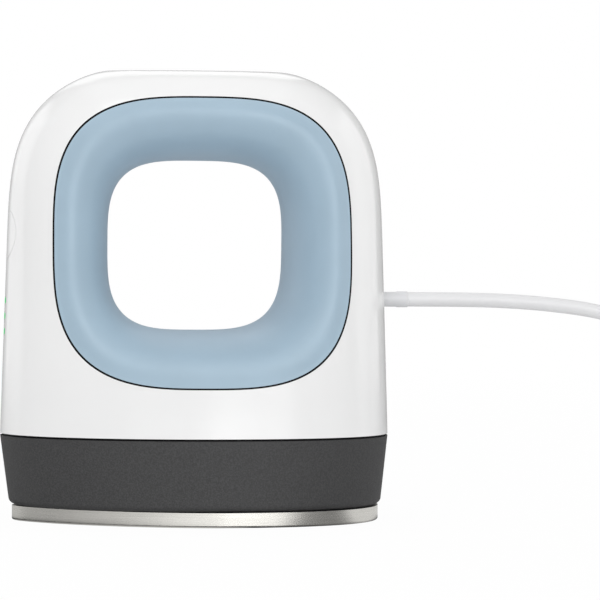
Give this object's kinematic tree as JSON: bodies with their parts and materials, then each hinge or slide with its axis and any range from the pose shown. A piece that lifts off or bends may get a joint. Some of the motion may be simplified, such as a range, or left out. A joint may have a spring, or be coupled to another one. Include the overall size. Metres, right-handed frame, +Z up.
{
  "type": "mini handheld heat press",
  "caption": "Small upright heat press with a square-round grip hole, gloss casing, dark skirt, metal sole plate, flush end button, status lights and a mains lead.",
  "frame": {"origin": "underside of the sole plate, at the middle of its length and thickness", "axes": "+Z up from the sole, +X from the button end to the cord end, +Y from the seen side to the other side"},
  "size_m": [0.2567, 0.0522, 0.1007],
  "materials": {
    "shell_white": "gloss moulded plastic",
    "grip_blue": "soft-touch satin",
    "seal_black": "matte",
    "skirt_dark": "fine-grained matte heat-resistant plastic",
    "sole_aluminium": "satin coated",
    "relief_grey": "satin",
    "cord_jacket": "satin vinyl jacket",
    "blade_brass": "bright",
    "window_green": "clear, lit from behind",
    "frame_plastic": "moulded",
    "screw_steel": "zinc plated",
    "element_foil": "polyimide film heater",
    "clamp_aluminium": "mill finish",
    "insulation_fibre": "pressed fibre",
    "shield_steel": "rolled sheet",
    "sensor_glass": "potted bead",
    "fuse_metal": "plated can",
    "board_green": "solder mask",
    "terminal_plastic": "moulded",
    "part_black": "moulded",
    "part_yellow": "moulded",
    "wire_insulation": "silicone sleeve"
  },
  "bodies": {
    "casing": {"front_shell": "shell_white", "rear_shell": "shell_white", "cord_cap": "shell_white", "front_grip_ring": "grip_blue", "rear_grip_ring": "grip_blue", "front_ring_seal": "seal_black", "rear_ring_seal": "seal_black", "seam_seal": "seal_black", "plate_gasket": "seal_black", "base_skirt": "skirt_dark", "heat_plate": "sole_aluminium", "strain_relief": "relief_grey", "cord_tube": "cord_jacket", "cord_coil": "cord_jacket", "plug_body": "cord_jacket", "plug_blades": "blade_brass", "led_windows": "window_green", "indicator_leds": "window_green", "inner_frame": "frame_plastic", "button_guide": "frame_plastic", "casing_screws": "screw_steel", "plate_screws": "screw_steel", "board_screws": "screw_steel", "guide_screws": "screw_steel", "plate_spacers": "screw_steel", "heating_element": "element_foil", "element_clamp": "clamp_aluminium", "insulation_pad": "insulation_fibre", "heat_shield": "shield_steel", "thermistor": "sensor_glass", "thermal_fuse": "fuse_metal", "sensor_clip": "shield_steel", "power_board": "board_green", "control_board": "board_green", "mains_terminal": "terminal_plastic", "heater_terminal": "terminal_plastic", "transformer": "part_black", "filter_capacitor": "part_yellow", "smoothing_capacitor": "part_black", "board_fuse": "part_black", "triac": "part_black", "triac_heatsink": "clamp_aluminium", "control_chip": "part_black", "tact_switch": "part_black", "link_sockets": "terminal_plastic", "mains_wires": "wire_insulation", "heater_wires": "wire_insulation", "sensor_wires": "wire_insulation", "board_link": "wire_insulation"},
    "button": {"power_button": "shell_white"},
    "plunger": {"switch_plunger": "part_black"}
  },
  "joints": [
    {"name": "button_press", "type": "slide", "parent": "casing", "child": "button", "axis": [1, 0, 0], "range_m": [0, 0.0006], "stiffness_N_per_m": 600, "springref_m": -0.001},
    {"name": "switch_press", "type": "slide", "parent": "casing", "child": "plunger", "axis": [1, 0, 0], "range_m": [0, 0.0006]}
  ],
  "couplings": [
    {"joint": "switch_press", "follows": "button_press", "ratio": 1}
  ]
}
